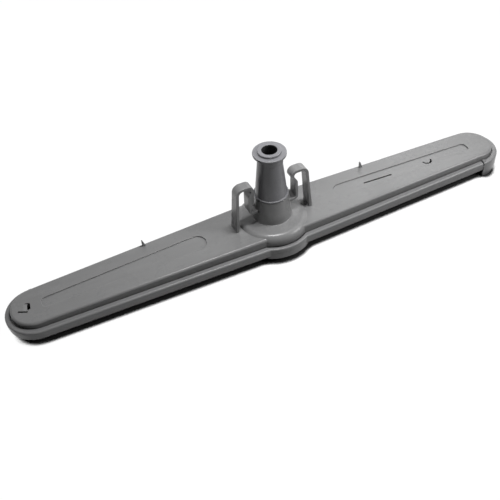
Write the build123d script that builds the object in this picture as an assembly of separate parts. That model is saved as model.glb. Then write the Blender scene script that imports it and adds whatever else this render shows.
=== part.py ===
from build123d import *
from math import asin, cos, sin
import os

# Spray arm of a dishwasher, in millimetres.
# The origin is on the stem's axis, on the surface that the arm lies on.
# +X runs along the arm, +Z up the stem.

# Plan of the arm
arm_length = 460.0
tip_radius = 24.3
center_half_width = 30.6
hub_rim_radius = 34.4
hub_wall_radius = 30.6
hub_corner_round = 3.0

# Walls and weld joint
wall = 2.0
top_wall = 2.4
ledge_height = 15.0
ledge_width = 5.2
groove_width = 1.0
groove_depth = 1.8
flange_thickness = 2.0
lip_thickness = 1.2
lip_height = 1.6
lip_gap = 0.2

# Rim and skirt of the lower shell
rim_drop = 7.7
hub_rim_drop = 10.9
rim_band = 3.0
rim_step = 0.5
skirt_wall = 2.0
rim_round = 1.4
belly_round = 2.0

# Deeper skirt at the leading quarter of each tip, with a slit at its start
tip_skirt_length = 26.5
tip_skirt_flat = 9.0
tip_skirt_lift = 0.4
slit_width = 1.2
slit_depth = 3.2
tab_width = 2.4
tab_height = 0.8

# Upper shell: arms and hub
upper_rise = 7.5
upper_fall = 2.1
upper_round = 1.8
tip_slope_length = 32.0
tip_slope_drop = 1.1
pad_rise = 1.5
pad_crown = 1.6
pad_round = 2.6
neck_base_radius = 16.6
neck_top_radius = 14.4
neck_height = 24.5
neck_fillet = 6.0
neck_edge_round = 0.5

# Recessed panels in the top face
panel_start = 61.0
panel_end_margin = 30.0
panel_depth = 0.9
panel_back_start = 9.2
panel_back_end = 4.1
panel_front_start = -8.4
panel_front_end = -5.9
panel_inner_corner = 8.4
panel_outer_corner = 3.4

# Jets in the top face
slot_jet_x = 104.2
slot_jet_y = -1.0
slot_jet_length = 28.0
slot_jet_width = 1.6
slot_jet_turn = -3.2
hook_jet_x = 156.6
hook_jet_y = -0.7
hook_jet_reach = 4.0
hook_jet_drop = 3.0
hook_jet_width = 1.5
scoop_margin = 19.9
scoop_y = 1.1
scoop_turn = -10.4
scoop_jet_length = 7.1
scoop_jet_width = 2.7
scoop_dish_reach = 3.0
scoop_dish_margin = 0.4
scoop_dish_depth = 1.8
scoop_slit_margin = 14.4
scoop_slit_y = -2.4
scoop_slit_length = 8.2
scoop_slit_width = 1.5
scoop_slit_turn = -27.5
scoop_block_radius = 9.5
scoop_block_depth = 3.8

# Fins near the back edge
fin_left_x = -109.8
fin_right_x = 97.6
fin_y = 19.4
fin_height = 6.0
fin_length = 3.0
fin_crest = 0.9
fin_thickness = 1.6

# Spring clips beside the neck
clip_thickness = 2.3
clip_top_width = 8.4
clip_base_width = 11.0
clip_root_x = 34.4
clip_shoulder_x = 31.3
clip_lobe_x = 15.2
clip_leg_x = 21.4
clip_rise = 42.0
clip_knee_drop = 10.0
clip_shoulder_round = 5.0
clip_lobe_round = 3.9
clip_bend_round = 3.0
clip_root_depth = 1.8
clip_foot_rise = 14.0
clip_bite = 1.3
clip_gap = 0.4
clip_web_x = 17.4
clip_web_rise = 22.2
clip_web_height = 13.5
clip_web_thickness = 1.3

# Inlet stem
run_clearance = 0.3
stem_wall = 2.0
spigot_radius = 11.6
spigot_groove_depth = 1.7
bead_radius = 14.5
bead_height = 1.6
cone_base_radius = 13.3
cone_top_radius = 9.6
stem_height = 42.3
flange_radius = 13.7
flange_height = 2.3
seat_radius = 9.7
seat_height = 1.8
inlet_radius = 6.2
inlet_length = 14.0
stem_edge_round = 0.5
lug_radius = 11.7
lug_height = 4.8
lug_span = 96.0
lug_turn = -10.0

# Jets in the far side, one row for each arm
far_jet_radii = {1: (72.0, 112.0, 152.0, 188.0), -1: (52.0, 92.0, 132.0, 172.0)}
far_jet_turns = (20.0, -35.0, 50.0, -15.0)
far_jet_length = 9.0
far_jet_width = 1.8
far_jet_dish_radius = 7.0
far_jet_floor_radius = 5.4
far_jet_dish_depth = 1.0
far_jet_boss_radius = 8.6
far_jet_boss_height = 1.4

# Heights and places worked out from the values above
weld_z = ledge_height - groove_depth
top_z = ledge_height + upper_rise
pad_z = top_z + pad_rise
neck_top_z = top_z + neck_height
foot_z = top_z + clip_foot_rise
arch_z = top_z + clip_rise - clip_thickness / 2
cone_base_z = neck_top_z + run_clearance + bead_height
flange_z = neck_top_z + stem_height
seat_z = flange_z + seat_height
neck_bore_radius = spigot_radius + run_clearance
spigot_groove_radius = spigot_radius - spigot_groove_depth
spigot_z = pad_z - top_wall + run_clearance
tip_center = arm_length / 2 - tip_radius
tip_skirt_start = arm_length / 2 - tip_skirt_length
tip_slope_start = arm_length / 2 - tip_slope_length
panel_end = arm_length / 2 - panel_end_margin
scoop_x = scoop_margin - arm_length / 2
scoop_slit_x = scoop_slit_margin - arm_length / 2
cut = 1.0


def arms_plan(inset):
    """The plan of both arms without the hub, drawn inside the rim's edge by inset."""
    tip = tip_radius - inset
    middle = center_half_width - inset
    lean = asin((middle - tip) / tip_center)
    root = Vector(middle * sin(lean), middle * cos(lean))
    end = Vector(tip_center + tip * sin(lean), tip * cos(lean))
    right = [
        Line((root.X, root.Y), (end.X, end.Y)),
        ThreePointArc((end.X, end.Y), (tip_center + tip, 0), (end.X, -end.Y)),
        Line((end.X, -end.Y), (root.X, -root.Y)),
    ]
    left = [edge.rotate(Axis.Z, 180) for edge in right]
    bridges = [Line((side * root.X, side * root.Y), (-side * root.X, side * root.Y)) for side in (1, -1)]
    return make_face(right + left + bridges)


def full_plan(inset, hub_radius):
    """The plan of both arms with the round hub, its inner corners rounded."""
    plan = arms_plan(inset) + Circle(hub_radius)
    corners = [v for v in plan.vertices() if abs(Vector(v.X, v.Y).length - hub_radius) < 0.01]
    return fillet(corners, hub_corner_round)


def slab(plan, low, high):
    """A plan raised between two heights."""
    return Pos(0, 0, low) * extrude(plan, high - low)


def upright(profile, thickness):
    """A profile drawn in X and Z, raised to both sides of the XZ plane."""
    return extrude(Plane.XZ * profile, thickness / 2, both=True)


def top_at(x):
    """The height of the top face at a place along the arm."""
    if abs(x) < tip_slope_start:
        return top_z - upper_fall * abs(x) / tip_slope_start
    return top_z - upper_fall - tip_slope_drop * (abs(x) - tip_slope_start) / tip_slope_length


def sky(drop):
    """All that is above the top face, or above a face that lies deeper by a drop."""
    places = (-arm_length / 2, -tip_slope_start, 0, tip_slope_start, arm_length / 2)
    roof = [(x, top_at(x) - drop) for x in places]
    side = Polyline(*roof, (arm_length / 2, top_z + cut), (-arm_length / 2, top_z + cut), close=True)
    return upright(make_face(side), 2 * center_half_width)


def tip_skirts():
    """The deeper skirt at the leading quarter of both tips."""
    rim_low = ledge_height - rim_drop
    ring = full_plan(0, hub_rim_radius) - full_plan(skirt_wall, hub_rim_radius - skirt_wall)
    side = Polyline(
        (tip_skirt_start, weld_z),
        (tip_skirt_start, tip_skirt_lift),
        (tip_skirt_start + tip_skirt_flat, tip_skirt_lift),
        (arm_length / 2, rim_low),
        (arm_length / 2, weld_z),
        close=True,
    )
    reach = 2 * tip_radius
    quarter = Pos(0, -reach / 2, 0) * upright(make_face(side), reach)
    right = slab(ring, tip_skirt_lift, weld_z) & quarter
    return right + right.rotate(Axis.Z, 180)


def tip_slits():
    """The slits through the rim at the start of both deeper skirts."""
    x = tip_skirt_start - slit_width / 2
    slit = Pos(x, -tip_radius, ledge_height) * Box(slit_width, 2 * ledge_width, 2 * slit_depth)
    return slit + slit.rotate(Axis.Z, 180)


def tip_tabs():
    """The small raised tabs beside the slits."""
    ring = full_plan(rim_round, hub_rim_radius) - full_plan(ledge_width - groove_width, hub_wall_radius)
    x = tip_skirt_start + tab_width / 2
    zone = Pos(x, -tip_radius, ledge_height) * Box(tab_width, 2 * ledge_width, 2 * tab_height)
    right = slab(ring, ledge_height - tab_height, ledge_height + tab_height) & zone
    return right + right.rotate(Axis.Z, 180)


def far_jets():
    """The bosses inside the tray and the dished slots through its floor, as two solids."""
    high = wall + far_jet_boss_height
    boss = slab(Circle(far_jet_boss_radius), wall - cut, high)
    dish = Cone(far_jet_dish_radius, far_jet_floor_radius, far_jet_dish_depth)
    dish = Pos(0, 0, far_jet_dish_depth / 2) * dish
    slot = slab(SlotOverall(far_jet_length, far_jet_width), -cut, high + cut)
    bosses = []
    cuts = []
    for side, radii in far_jet_radii.items():
        for radius, turn in zip(radii, far_jet_turns):
            place = Pos(side * radius, 0, 0)
            bosses.append(place * boss)
            cuts += [place * dish, place * Rot(0, 0, turn) * slot]
    return bosses, cuts


def lower_shell():
    """The tray with its weld groove, ledge, skirt and far-side jets."""
    rim_low = ledge_height - rim_drop
    flange_low = weld_z - flange_thickness
    body_plan = full_plan(ledge_width, hub_wall_radius)
    body = slab(body_plan, 0, weld_z)
    body = fillet(body.faces().sort_by(Axis.Z)[0].edges(), belly_round)
    rim_plan = full_plan(0, hub_rim_radius)
    flange = slab(rim_plan, flange_low, ledge_height)
    flange = fillet(flange.faces().sort_by(Axis.Z)[-1].edges(), rim_round)
    step_plan = full_plan(rim_step, hub_rim_radius - rim_step)
    inner_plan = full_plan(skirt_wall, hub_rim_radius - skirt_wall)
    band = slab(rim_plan - inner_plan, ledge_height - rim_round - rim_band, flange_low)
    skirt = slab(step_plan - inner_plan, rim_low, flange_low)
    hub_ring = Circle(hub_rim_radius - rim_step) - Circle(hub_rim_radius - skirt_wall)
    hub_skirt = slab(hub_ring - arms_plan(skirt_wall), ledge_height - hub_rim_drop, flange_low)
    shell = body + flange + band + skirt + hub_skirt + tip_skirts() + tip_tabs()
    groove_plan = full_plan(ledge_width - groove_width, hub_wall_radius + groove_width)
    shell -= slab(groove_plan, weld_z, ledge_height + cut)
    shell -= slab(full_plan(ledge_width + wall, hub_wall_radius - wall), wall, ledge_height)
    lip_inset = wall + lip_gap
    lip_reach = lip_inset + lip_thickness
    lip_outer = full_plan(ledge_width + lip_inset, hub_wall_radius - lip_inset)
    lip_inner = full_plan(ledge_width + lip_reach, hub_wall_radius - lip_reach)
    lip = slab(lip_outer - lip_inner, weld_z, weld_z + lip_height)
    lip_root = full_plan(ledge_width + wall, hub_wall_radius - wall) - lip_inner
    shell += lip + slab(lip_root, weld_z - flange_thickness, weld_z)
    shell -= tip_slits()
    bosses, cuts = far_jets()
    return shell + bosses - cuts


def hub():
    """The round hub pad with its neck, as a turned solid."""
    outside = FilletPolyline(
        (0, weld_z),
        (hub_wall_radius, weld_z),
        (hub_wall_radius, pad_z),
        (neck_base_radius, pad_z + pad_crown),
        (neck_top_radius, neck_top_z),
        (0, neck_top_z),
        radius=(0, pad_round, neck_fillet, neck_edge_round, 0, 0),
        close=True,
    )
    return revolve(Plane.XZ * make_face(outside), Axis.Z)


def panels():
    """The two shallow recesses in the top face, one on each arm."""
    corners = [
        (panel_start, panel_back_start),
        (panel_end, panel_back_end),
        (panel_end, panel_front_end),
        (panel_start, panel_front_start),
    ]
    rounds = (panel_inner_corner, panel_outer_corner, panel_outer_corner, panel_inner_corner)
    outline = make_face(FilletPolyline(*corners, radius=rounds, close=True))
    right = slab(outline, weld_z, top_z) & sky(panel_depth)
    return right + mirror(right, Plane.YZ)


def top_jets():
    """The straight slot and the hooked slot in the right arm."""
    slot = SlotOverall(slot_jet_length, slot_jet_width)
    straight = Pos(slot_jet_x, slot_jet_y) * Rot(0, 0, slot_jet_turn) * slot
    hook_line = ThreePointArc(
        (hook_jet_x - hook_jet_reach, hook_jet_y),
        (hook_jet_x - hook_jet_reach / 2, hook_jet_y - hook_jet_drop),
        (hook_jet_x + hook_jet_reach, hook_jet_y),
    )
    hooked = SlotArc(hook_line, hook_jet_width)
    return [slab(straight, weld_z, top_z), slab(hooked, weld_z, top_z)]


def scoop_block():
    """The thick place under the left tip's top face that the scoop is sunk into."""
    zone = Pos((scoop_x + scoop_slit_x) / 2, (scoop_y + scoop_slit_y) / 2) * Circle(scoop_block_radius)
    high = top_at(scoop_x)
    return slab(zone, high - scoop_block_depth, high - scoop_dish_depth)


def scoop_cuts():
    """The oval jet in the left tip, the dish that leads down to it and the slit beside it."""
    high = top_at(scoop_x)
    low = high - scoop_block_depth - cut
    place = Pos(scoop_x, scoop_y) * Rot(0, 0, scoop_turn)
    upright_slot = Rot(0, 0, 90) * SlotOverall(scoop_jet_length, scoop_jet_width)
    dish_width = scoop_jet_width + scoop_dish_reach
    dish_plan = Rot(0, 0, 90) * SlotOverall(scoop_jet_length + 2 * scoop_dish_margin, dish_width)
    start = -scoop_jet_width / 2 - scoop_dish_reach
    ramp = Polyline(
        (start, high),
        (scoop_jet_width / 2, high - scoop_dish_depth),
        (scoop_jet_width / 2, top_z),
        (start, top_z),
        close=True,
    )
    dish = slab(Pos(-scoop_dish_reach / 2, 0) * dish_plan, low, top_z)
    dish &= upright(make_face(ramp), 2 * scoop_jet_length)
    slit = Rot(0, 0, scoop_slit_turn) * SlotOverall(scoop_slit_length, scoop_slit_width)
    return [
        place * dish,
        slab(place * upright_slot, low, top_z),
        slab(Pos(scoop_slit_x, scoop_slit_y) * slit, low, top_z),
    ]


def fins():
    """The two small fins near the back edge."""
    blades = []
    for x in (fin_left_x, fin_right_x):
        base = top_at(x)
        side = Polyline(
            (x, base - top_wall / 2),
            (x, base + fin_height),
            (x + fin_crest, base + fin_height),
            (x + fin_length, base),
            (x + fin_length, base - top_wall / 2),
            close=True,
        )
        blades.append(Pos(0, fin_y, 0) * upright(make_face(side), fin_thickness))
    return blades


def clip():
    """The right spring clip: outer leg, arch, inner leg and the foot that runs in the stem's groove."""
    tip_x = spigot_radius - clip_bite
    band = FilletPolyline(
        (clip_root_x, top_z - clip_root_depth),
        (clip_shoulder_x, arch_z),
        (clip_lobe_x, arch_z),
        (clip_leg_x, arch_z - clip_knee_drop),
        (clip_leg_x, foot_z),
        (tip_x, foot_z),
        radius=(clip_shoulder_round, clip_lobe_round, clip_bend_round, clip_bend_round),
    )
    strip = upright(trace(band, clip_thickness), 2 * clip_base_width)
    taper = Polyline(
        (-clip_base_width / 2, top_z - clip_root_depth),
        (clip_base_width / 2, top_z - clip_root_depth),
        (clip_top_width / 2, arch_z + clip_thickness),
        (-clip_top_width / 2, arch_z + clip_thickness),
        close=True,
    )
    return strip & extrude(Plane.YZ * make_face(taper), 2 * clip_root_x)


def clip_web():
    """The web between the inner leg and the lobe of one clip, drawn on the right clip."""
    web_low = top_z + clip_web_rise
    web_profile = Polyline(
        (clip_leg_x, web_low),
        (clip_web_x + clip_thickness / 2, web_low),
        (clip_web_x, web_low + clip_thickness / 2),
        (clip_web_x, web_low + clip_web_height),
        (clip_leg_x, web_low + clip_web_height),
        close=True,
    )
    web_y = (clip_top_width - clip_web_thickness) / 2
    return Pos(0, web_y, 0) * upright(make_face(web_profile), clip_web_thickness)


def upper_shell():
    """The top half with hub, neck, panels, jets, fins and both spring clips."""
    arms = slab(arms_plan(ledge_width), weld_z, top_z) - sky(0)
    upper_edges = [e for e in arms.edges() if e.bounding_box().min.Z > ledge_height]
    arms = fillet([e for e in upper_edges if e.bounding_box().size.X > hub_corner_round], upper_round)
    shell = arms - panels() + hub()
    hollow = slab(arms_plan(ledge_width + wall), weld_z - cut, top_z) - sky(top_wall)
    hollow += slab(Circle(hub_wall_radius - wall), weld_z - cut, pad_z - top_wall)
    shell = shell - hollow + scoop_block()
    shell -= slab(Circle(neck_bore_radius), pad_z - top_wall - cut, neck_top_z + cut)
    window_width = clip_base_width + 2 * clip_gap
    window_height = clip_thickness + 2 * clip_gap
    shell -= Pos(0, 0, foot_z) * Box(2 * clip_leg_x, window_width, window_height)
    shell = shell - top_jets() - scoop_cuts()
    right_clip = clip()
    left_clip = (right_clip + clip_web()).rotate(Axis.Z, 180)
    return shell + fins() + right_clip + left_clip


def lugs():
    """The two bayonet lugs under the stem's flange."""
    low = flange_z - flange_height - lug_height
    ring = Circle(lug_radius) - Circle(inlet_radius + stem_wall)
    reach = Vector(2 * lug_radius, 0)
    half = lug_span / 2
    wedge = Polyline((0, 0), reach.rotate(Axis.Z, -half), reach.rotate(Axis.Z, half), close=True)
    lug = slab(ring & make_face(wedge), low, flange_z - flange_height / 2)
    return [lug.rotate(Axis.Z, lug_turn + turn) for turn in (-90, 90)]


def inlet_stem():
    """The hollow stem: spigot with its groove, bead, cone, flange and seat, turned as one profile."""
    groove_half = clip_thickness / 2 + run_clearance
    bead_z = neck_top_z + run_clearance
    bore_radius = spigot_groove_radius - stem_wall
    edge = stem_edge_round
    flange_low = flange_z - flange_height
    profile = FilletPolyline(
        (bore_radius, spigot_z),
        (spigot_radius, spigot_z),
        (spigot_radius, foot_z - groove_half),
        (spigot_groove_radius, foot_z - groove_half),
        (spigot_groove_radius, foot_z + groove_half),
        (spigot_radius, foot_z + groove_half),
        (spigot_radius, bead_z),
        (bead_radius, bead_z),
        (bead_radius, cone_base_z),
        (cone_base_radius, cone_base_z),
        (cone_top_radius, flange_low),
        (flange_radius, flange_low),
        (flange_radius, flange_z),
        (seat_radius, flange_z),
        (seat_radius, seat_z),
        (inlet_radius, seat_z),
        (inlet_radius, seat_z - inlet_length),
        (bore_radius, cone_base_z),
        radius=(0, edge, 0, 0, 0, 0, 0, edge, edge, 0, 0, edge, edge, 0, edge, edge, 0, 0),
        close=True,
    )
    return revolve(Plane.XZ * make_face(profile), Axis.Z) + lugs()


os.makedirs("parts", exist_ok=True)
nodes = {"upper_shell": upper_shell, "lower_shell": lower_shell, "inlet_stem": inlet_stem}
for node, build in nodes.items():
    shape = build()
    shape.label = node
    export_step(shape, f"parts/{node}.step")
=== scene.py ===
"""Looks of a dishwasher spray arm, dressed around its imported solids.

The arm is moulded in grey plastic: an upper shell with the hub, the spring clips and
the jets, a tray-shaped lower shell welded under it, and a conical inlet stem on which
both spin. Everything is in metres, in the frame of the solids.
"""

from __future__ import annotations

import logging
import math
from dataclasses import dataclass
from enum import Enum
from typing import Any, Optional, Union

import bmesh
import bpy
from mathutils import Matrix, Vector


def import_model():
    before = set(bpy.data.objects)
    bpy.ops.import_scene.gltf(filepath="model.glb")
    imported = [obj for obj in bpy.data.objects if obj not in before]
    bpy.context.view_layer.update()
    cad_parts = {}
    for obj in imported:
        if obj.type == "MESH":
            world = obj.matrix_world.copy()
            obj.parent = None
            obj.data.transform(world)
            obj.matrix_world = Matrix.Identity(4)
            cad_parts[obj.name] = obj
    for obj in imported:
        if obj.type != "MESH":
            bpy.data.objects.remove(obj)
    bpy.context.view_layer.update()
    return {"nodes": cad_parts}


LOG = logging.getLogger("spray_arm")
MM = 0.001

Rgb = tuple[float, float, float]
Point = tuple[float, float, float]
Span = tuple[float, float]

BLACK: Rgb = (0.0, 0.0, 0.0)
WHITE: Rgb = (1.0, 1.0, 1.0)
STEM_FOOT: Point = (0.0, 0.0, 20.0 * MM)


class Piece(Enum):
    """The solids that are dressed."""

    UPPER_SHELL = "upper_shell"
    LOWER_SHELL = "lower_shell"
    INLET_STEM = "inlet_stem"


class Look(Enum):
    """Where the openness of a point is measured; the value says whether that is inside."""

    INTO_PLASTIC = True
    OUT_OF_PLASTIC = False


class Ray(Enum):
    """The rays that see the white background, by the names of their outputs."""

    CAMERA = "Is Camera Ray"
    MIRRORED = "Is Glossy Ray"
    THROUGH_GLASS = "Is Transmission Ray"


class Sock:
    """An output socket that Python operators turn into Math nodes."""

    def __init__(self, graph: "Graph", socket: Optional[bpy.types.NodeSocket]) -> None:
        """Keep the socket, if the node has one, and the graph that it belongs to."""
        self.graph = graph
        self.socket = socket

    def _math(self, operation: str, first: "Feed", second: "Feed") -> "Sock":
        """Add one Math node and return its value."""
        return self.graph.node("ShaderNodeMath", {"operation": operation}, {0: first, 1: second})

    def __add__(self, other: "Feed") -> "Sock":
        """Return self + other."""
        return self._math("ADD", self, other)

    def __radd__(self, other: "Feed") -> "Sock":
        """Return other + self."""
        return self._math("ADD", other, self)

    def __sub__(self, other: "Feed") -> "Sock":
        """Return self - other."""
        return self._math("SUBTRACT", self, other)

    def __rsub__(self, other: "Feed") -> "Sock":
        """Return other - self."""
        return self._math("SUBTRACT", other, self)

    def __mul__(self, other: "Feed") -> "Sock":
        """Return self * other."""
        return self._math("MULTIPLY", self, other)

    def __rmul__(self, other: "Feed") -> "Sock":
        """Return other * self."""
        return self._math("MULTIPLY", other, self)


Feed = Union[Sock, float, tuple[float, ...]]


class Graph:
    """The node tree of one material or of the world."""

    # The Mix node keeps its colour sockets behind those for numbers and vectors.
    MIX_SHARE = 0
    MIX_FIRST = 6
    MIX_SECOND = 7
    MIX_RESULT = 2

    def __init__(self, tree: bpy.types.NodeTree) -> None:
        """Start from an emptied tree."""
        self.tree = tree
        tree.nodes.clear()

    def node(
        self,
        kind: str,
        settings: Optional[dict[str, Any]] = None,
        inputs: Optional[dict[Union[str, int], Feed]] = None,
        output: Union[str, int] = 0,
    ) -> Sock:
        """Add a node, apply its settings, then fill its sockets.

        Args:
            kind: The node's type name.
            settings: Attributes of the node, such as a Math node's operation.
            inputs: Values or links by socket name or number.
            output: Name or number of the output that is returned.

        Returns:
            The chosen output socket.
        """
        made = self.tree.nodes.new(kind)
        for name, value in (settings or {}).items():
            setattr(made, name, value)
        for name, value in (inputs or {}).items():
            if isinstance(value, Sock):
                self.tree.links.new(value.socket, made.inputs[name])
            else:
                made.inputs[name].default_value = value
        return Sock(self, made.outputs[output] if made.outputs else None)

    def ramp(self, value: Sock, low: float, high: float) -> Sock:
        """Return 0 where value is below low, 1 above high and an even slope between."""
        sockets = {"Value": value, "From Min": low, "From Max": high, "To Min": 0.0, "To Max": 1.0}
        return self.node("ShaderNodeMapRange", {"clamp": True}, sockets)

    def noise(self, where: Sock, size: float, detail: float, roughness: float = 0.5) -> Sock:
        """Return noise from 0 to 1 whose blotches are about size metres wide."""
        sockets = {"Vector": where, "Scale": 1.0 / size, "Detail": detail, "Roughness": roughness}
        return self.node("ShaderNodeTexNoise", None, sockets)

    def blend(self, share: Feed, first: Feed, second: Feed) -> Sock:
        """Return a colour between first and second."""
        sockets = {self.MIX_SHARE: share, self.MIX_FIRST: first, self.MIX_SECOND: second}
        return self.node("ShaderNodeMix", {"data_type": "RGBA"}, sockets, output=self.MIX_RESULT)

    def seen(self) -> Sock:
        """Return 1 for rays from the camera, in mirrors and through glass."""
        camera, mirrored, through = (self.node("ShaderNodeLightPath", output=ray.value) for ray in Ray)
        return self.ramp(camera + mirrored + through, 0.0, 1.0)


def rgba(color: Rgb) -> tuple[float, float, float, float]:
    """Return an opaque colour."""
    return (*color, 1.0)


@dataclass(frozen=True)
class Blotches:
    """A cloudy pattern: how wide its clouds are and which part of the noise shows."""

    size: float
    detail: float
    roughness: float
    span: Span

    def make(self, graph: Graph, where: Sock) -> Sock:
        """Return the pattern, from 0 to 1, at the given coordinates."""
        return graph.ramp(graph.noise(where, self.size, self.detail, self.roughness), *self.span)


@dataclass(frozen=True)
class MouldedPlastic:
    """Satin grey plastic as it comes out of a spark-eroded mould, with painted shade in its pockets and a
    painted highlight on its convex edges.
    """

    name: str
    color: Rgb
    flow_color: Rgb
    edge_highlight_color: Rgb
    pocket_shade_color: Rgb
    roughness: float = 0.22
    ior: float = 1.49
    specular: float = 0.5
    # The plastic flowed along the arm, so its streaks are stretched that way.
    flow_stretch: Point = (0.25, 1.0, 1.0)
    mottle: Blotches = Blotches(14.0 * MM, 4.0, 0.6, (0.3, 0.7))
    mottle_share: float = 0.5
    smudge: Blotches = Blotches(32.0 * MM, 5.0, 0.65, (0.35, 0.75))
    smudge_dulling: float = 0.08
    grain: float = 0.35 * MM
    grain_detail: float = 2.0
    grain_height: float = 0.003 * MM
    grain_share: float = 0.3
    grain_dulling: float = 0.06
    ripple: float = 18.0 * MM
    ripple_detail: float = 1.0
    ripple_height: float = 0.03 * MM
    edge_radius: float = 0.6 * MM
    edge_samples: int = 6
    edge_reach: float = 0.5 * MM
    edge_span: Span = (0.5, 0.92)
    edge_highlight_share: float = 0.5
    edge_polish: float = 0.06
    pocket_reach: float = 6.0 * MM
    pocket_span: Span = (0.05, 0.7)
    openness_samples: int = 8

    def make(self) -> bpy.types.Material:
        """Build the material.

        Returns:
            A material whose pattern follows the object's own coordinates.
        """
        material = bpy.data.materials.new(self.name)
        material.use_nodes = True
        graph = Graph(material.node_tree)
        where = graph.node("ShaderNodeTexCoord", output="Object")
        along = graph.node("ShaderNodeMapping", None, {"Vector": where, "Scale": self.flow_stretch})
        mottle = self.mottle.make(graph, along)
        smudge = self.smudge.make(graph, where)
        grain = graph.noise(where, self.grain, self.grain_detail)
        edge = 1.0 - graph.ramp(self._openness(graph, self.edge_reach, Look.INTO_PLASTIC), *self.edge_span)
        streaks = mottle * self.mottle_share + grain * self.grain_share
        color = graph.blend(streaks, rgba(self.color), rgba(self.flow_color))
        # Painted highlight: convex edges get a lighter colour.
        color = graph.blend(edge * self.edge_highlight_share, color, rgba(self.edge_highlight_color))
        # Painted shade: grooves, slots and corners get a darker colour.
        color = graph.blend(self.pockets(graph, where), color, rgba(self.pocket_shade_color))
        dulling = smudge * self.smudge_dulling + grain * self.grain_dulling
        sockets = {
            "Base Color": color,
            "Roughness": self.roughness + dulling - edge * self.edge_polish,
            "Normal": self._relief(graph, along, grain),
            "IOR": self.ior,
            "Specular IOR Level": self.specular,
        }
        shader = graph.node("ShaderNodeBsdfPrincipled", None, sockets)
        graph.node("ShaderNodeOutputMaterial", None, {"Surface": shader})
        return material

    def pockets(self, graph: Graph, where: Sock) -> Sock:
        """Find the grooves, slots and corners where shade is painted into the colour.

        Args:
            graph: The tree that gets the nodes.
            where: The object's own coordinates, for finishes that need them.

        Returns:
            The share of painted shade: 0 on open faces, up to 1 deep in a pocket.
        """
        openness = self._openness(graph, self.pocket_reach, Look.OUT_OF_PLASTIC)
        return 1.0 - graph.ramp(openness, *self.pocket_span)

    def _relief(self, graph: Graph, along: Sock, grain: Sock) -> Sock:
        """Round the sharp edges and raise the mould's grain and slow ripple.

        Args:
            graph: The tree that gets the nodes.
            along: Coordinates that are stretched along the arm.
            grain: The noise of the mould's grain.

        Returns:
            The bent normal.
        """
        soft = graph.node("ShaderNodeBevel", {"samples": self.edge_samples}, {"Radius": self.edge_radius})
        ripple = graph.noise(along, self.ripple, self.ripple_detail)
        height = grain * self.grain_height + ripple * self.ripple_height
        # The height is in metres already, so it is taken in full.
        sockets = {"Strength": 1.0, "Distance": 1.0, "Height": height, "Normal": soft}
        return graph.node("ShaderNodeBump", None, sockets)

    def _openness(self, graph: Graph, reach: float, look: Look) -> Sock:
        """Find edges or pockets by how open the piece itself leaves a point.

        Args:
            graph: The tree that gets the node.
            reach: How far the node looks, in metres.
            look: Into the plastic, which finds edges, or out of it, which finds pockets.

        Returns:
            1 on plain faces, less at edges or in pockets.
        """
        settings = {"samples": self.openness_samples, "only_local": True, "inside": look.value}
        return graph.node("ShaderNodeAmbientOcclusion", settings, {"Distance": reach}, output="AO")


@dataclass(frozen=True)
class BoredPlastic(MouldedPlastic):
    """The same plastic with painted shade all over the water channel's wall along the Z axis."""

    bore_radius: float = 6.2 * MM
    fade_start: float = 0.15 * MM
    fade_end: float = 0.45 * MM
    across_bore: Point = (1.0, 1.0, 0.0)

    def pockets(self, graph: Graph, where: Sock) -> Sock:
        """Add painted shade on the channel's wall to the plain plastic's painted pocket shade.

        Args:
            graph: The tree that gets the nodes.
            where: The object's own coordinates.

        Returns:
            0 on open faces, up to 1 deep in a pocket and all over the channel's wall.
        """
        sockets = {0: where, 1: self.across_bore}
        across = graph.node("ShaderNodeVectorMath", {"operation": "MULTIPLY"}, sockets)
        radius = graph.node("ShaderNodeVectorMath", {"operation": "LENGTH"}, {0: across}, output="Value")
        # Painted shade: the channel's wall is darkened all over.
        wall = 1.0 - graph.ramp(radius, self.bore_radius + self.fade_start, self.bore_radius + self.fade_end)
        return graph.ramp(super().pockets(graph, where) + wall, 0.0, 1.0)


@dataclass(frozen=True)
class WhiteTable:
    """Matte table top that is white to the camera, with the arm's contact shadow painted onto it."""

    name: str = "white_table"
    color: Rgb = (0.05, 0.05, 0.05)
    # The painted contact shadow falls in front of the arm: the table looks for the arm along this direction.
    shadow_look: Point = (0.1, 0.7, 0.7)
    shadow_reach: float = 7.8 * MM
    shadow_span: Span = (0.6, 0.7)
    shadow_samples: int = 16

    def make(self) -> bpy.types.Material:
        """Build the material.

        Returns:
            A material that glows white wherever no contact shadow is painted.
        """
        material = bpy.data.materials.new(self.name)
        material.use_nodes = True
        graph = Graph(material.node_tree)
        matte = graph.node("ShaderNodeBsdfDiffuse", None, {"Color": rgba(self.color)})
        look = graph.node("ShaderNodeCombineXYZ", None, dict(enumerate(self.shadow_look)))
        settings = {"samples": self.shadow_samples}
        sockets = {"Distance": self.shadow_reach, "Normal": look}
        # Painted contact shadow: the white glow fades where the arm is near.
        openness = graph.node("ShaderNodeAmbientOcclusion", settings, sockets, output="AO")
        outside_painted_shadow = graph.ramp(openness, *self.shadow_span)
        white = graph.blend(graph.seen() * outside_painted_shadow, rgba(BLACK), rgba(WHITE))
        glow = graph.node("ShaderNodeEmission", None, {"Color": white, "Strength": 1.0})
        both = graph.node("ShaderNodeAddShader", None, {0: matte, 1: glow})
        graph.node("ShaderNodeOutputMaterial", None, {"Surface": both})
        return material


def dress(piece: bpy.types.Object, material: bpy.types.Material) -> None:
    """Give a piece one material on all its faces.

    Args:
        piece: A mesh object.
        material: The finish.
    """
    piece.data.materials.clear()
    piece.data.materials.append(material)


@dataclass
class ArmShells:
    """The welded arm: the upper shell with hub and clips, and the tray under it."""

    upper: MouldedPlastic
    lower: MouldedPlastic

    def dress_shells(self, nodes: dict[str, bpy.types.Object]) -> list[Piece]:
        """Give both shells their finishes.

        Args:
            nodes: The solids' objects by name.

        Returns:
            The dressed pieces.
        """
        finishes = {Piece.UPPER_SHELL: self.upper, Piece.LOWER_SHELL: self.lower}
        for piece, finish in finishes.items():
            dress(nodes[piece.value], finish.make())
        return list(finishes)


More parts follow.
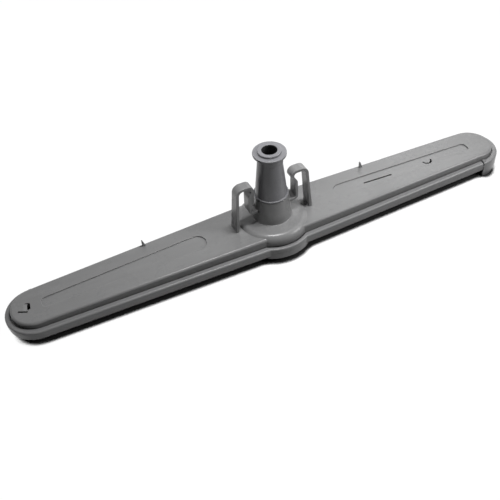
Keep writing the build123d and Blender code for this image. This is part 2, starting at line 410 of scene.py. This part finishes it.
@dataclass
class InletStem:
    """The conical stem that brings the water in."""

    finish: BoredPlastic

    def dress_stem(self, nodes: dict[str, bpy.types.Object]) -> list[Piece]:
        """Give the stem its finish.

        Args:
            nodes: The solids' objects by name.

        Returns:
            The dressed piece, alone in a list.
        """
        dress(nodes[Piece.INLET_STEM.value], self.finish.make())
        return [Piece.INLET_STEM]


@dataclass(frozen=True)
class Lamp:
    """One soft box that is aimed at a point."""

    name: str
    place: Point
    width: float
    height: float
    watts: float
    aim: Point = STEM_FOOT

    def make(self) -> None:
        """Hang the lamp."""
        data = bpy.data.lights.new(self.name, "AREA")
        data.shape = "RECTANGLE"
        data.size = self.width
        data.size_y = self.height
        data.energy = self.watts
        lamp = bpy.data.objects.new(self.name, data)
        lamp.location = self.place
        lamp.rotation_euler = (Vector(self.aim) - Vector(self.place)).to_track_quat("-Z", "Y").to_euler()
        bpy.context.scene.collection.objects.link(lamp)


@dataclass
class Studio:
    """White table, lamps and surroundings."""

    lamps: list[Lamp]
    table: WhiteTable
    table_size: float = 6.0
    surround: float = 0.01

    def make_floor(self) -> None:
        """Lay the white table under the arm."""
        mesh = bpy.data.meshes.new("table_top")
        build = bmesh.new()
        bmesh.ops.create_grid(build, x_segments=1, y_segments=1, size=self.table_size / 2)
        build.to_mesh(mesh)
        build.free()
        floor = bpy.data.objects.new("table_top", mesh)
        bpy.context.scene.collection.objects.link(floor)
        dress(floor, self.table.make())

    def light(self) -> None:
        """Hang the lamps and set the surroundings."""
        for lamp in self.lamps:
            lamp.make()
        world = bpy.data.worlds.new("studio")
        bpy.context.scene.world = world
        world.use_nodes = True
        graph = Graph(world.node_tree)
        strength = self.surround + graph.seen() * (1.0 - self.surround)
        sky = graph.node("ShaderNodeBackground", None, {"Color": rgba(WHITE), "Strength": strength})
        graph.node("ShaderNodeOutputWorld", None, {"Surface": sky})


@dataclass(frozen=True)
class PhotoCamera:
    """The camera at the photograph's viewing angle, with its angles in degrees."""

    place: Point = (-203.57 * MM, -425.72 * MM, 447.94 * MM)
    azimuth: float = -23.043
    elevation: float = 44.592
    roll: float = -4.175
    lens: float = 54.155
    sensor: float = 36.0
    nearest: float = 10.0 * MM

    def make(self) -> None:
        """Place the camera and make it the scene's own."""
        data = bpy.data.cameras.new("photo_camera")
        data.lens = self.lens
        data.sensor_width = self.sensor
        data.clip_start = self.nearest
        camera = bpy.data.objects.new("photo_camera", data)
        azimuth, elevation, roll = (math.radians(a) for a in (self.azimuth, self.elevation, self.roll))
        turn = Matrix.Rotation(azimuth, 4, "Z") @ Matrix.Rotation(math.pi / 2 - elevation, 4, "X")
        camera.matrix_world = Matrix.Translation(self.place) @ turn @ Matrix.Rotation(roll, 4, "Z")
        bpy.context.scene.collection.objects.link(camera)
        bpy.context.scene.camera = camera


# Colour of the painted shade in grooves, slots, corners and the stem's channel.
POCKET_SHADE_GREY: Rgb = (0.05, 0.05, 0.052)
UPPER_FINISH = MouldedPlastic(
    "upper_grey",
    color=(0.298, 0.298, 0.3),
    flow_color=(0.222, 0.222, 0.224),
    edge_highlight_color=(0.44, 0.44, 0.44),
    pocket_shade_color=POCKET_SHADE_GREY,
)
LOWER_FINISH = MouldedPlastic(
    "lower_grey",
    color=(0.283, 0.283, 0.286),
    flow_color=(0.21, 0.21, 0.213),
    edge_highlight_color=(0.42, 0.42, 0.42),
    pocket_shade_color=POCKET_SHADE_GREY,
)
STEM_FINISH = BoredPlastic(
    "stem_grey",
    color=(0.287, 0.287, 0.304),
    flow_color=(0.217, 0.217, 0.231),
    edge_highlight_color=(0.44, 0.44, 0.45),
    pocket_shade_color=POCKET_SHADE_GREY,
)
SOFT_BOXES = [
    Lamp("key_strip", (0.015, -0.014, 0.4), width=0.14, height=0.03, watts=0.84, aim=(0.015, 0.0, 0.02)),
    Lamp("right_box", (0.5, 0.0, 0.75), width=0.45, height=0.45, watts=0.78),
    Lamp("front_right_box", (0.55, -0.35, 0.45), width=0.3, height=0.3, watts=2.3),
    Lamp("back_right_box", (0.55, 0.5, 0.5), width=0.3, height=0.3, watts=0.6),
    Lamp("left_box", (-0.6, 0.35, 0.35), width=0.4, height=0.4, watts=0.1),
]


def main() -> None:
    """Load the solids, dress them and set up studio and camera."""
    logging.basicConfig(level=logging.INFO, format="%(message)s")
    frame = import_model()
    nodes = frame["nodes"]
    PhotoCamera().make()
    studio = Studio(SOFT_BOXES, WhiteTable())
    studio.make_floor()
    studio.light()
    bpy.context.scene.view_settings.view_transform = "Standard"
    made = ArmShells(UPPER_FINISH, LOWER_FINISH).dress_shells(nodes)
    made += InletStem(STEM_FINISH).dress_stem(nodes)
    for piece in made:
        LOG.info("dressed %s", piece.value)


if __name__ == "__main__":
    main()
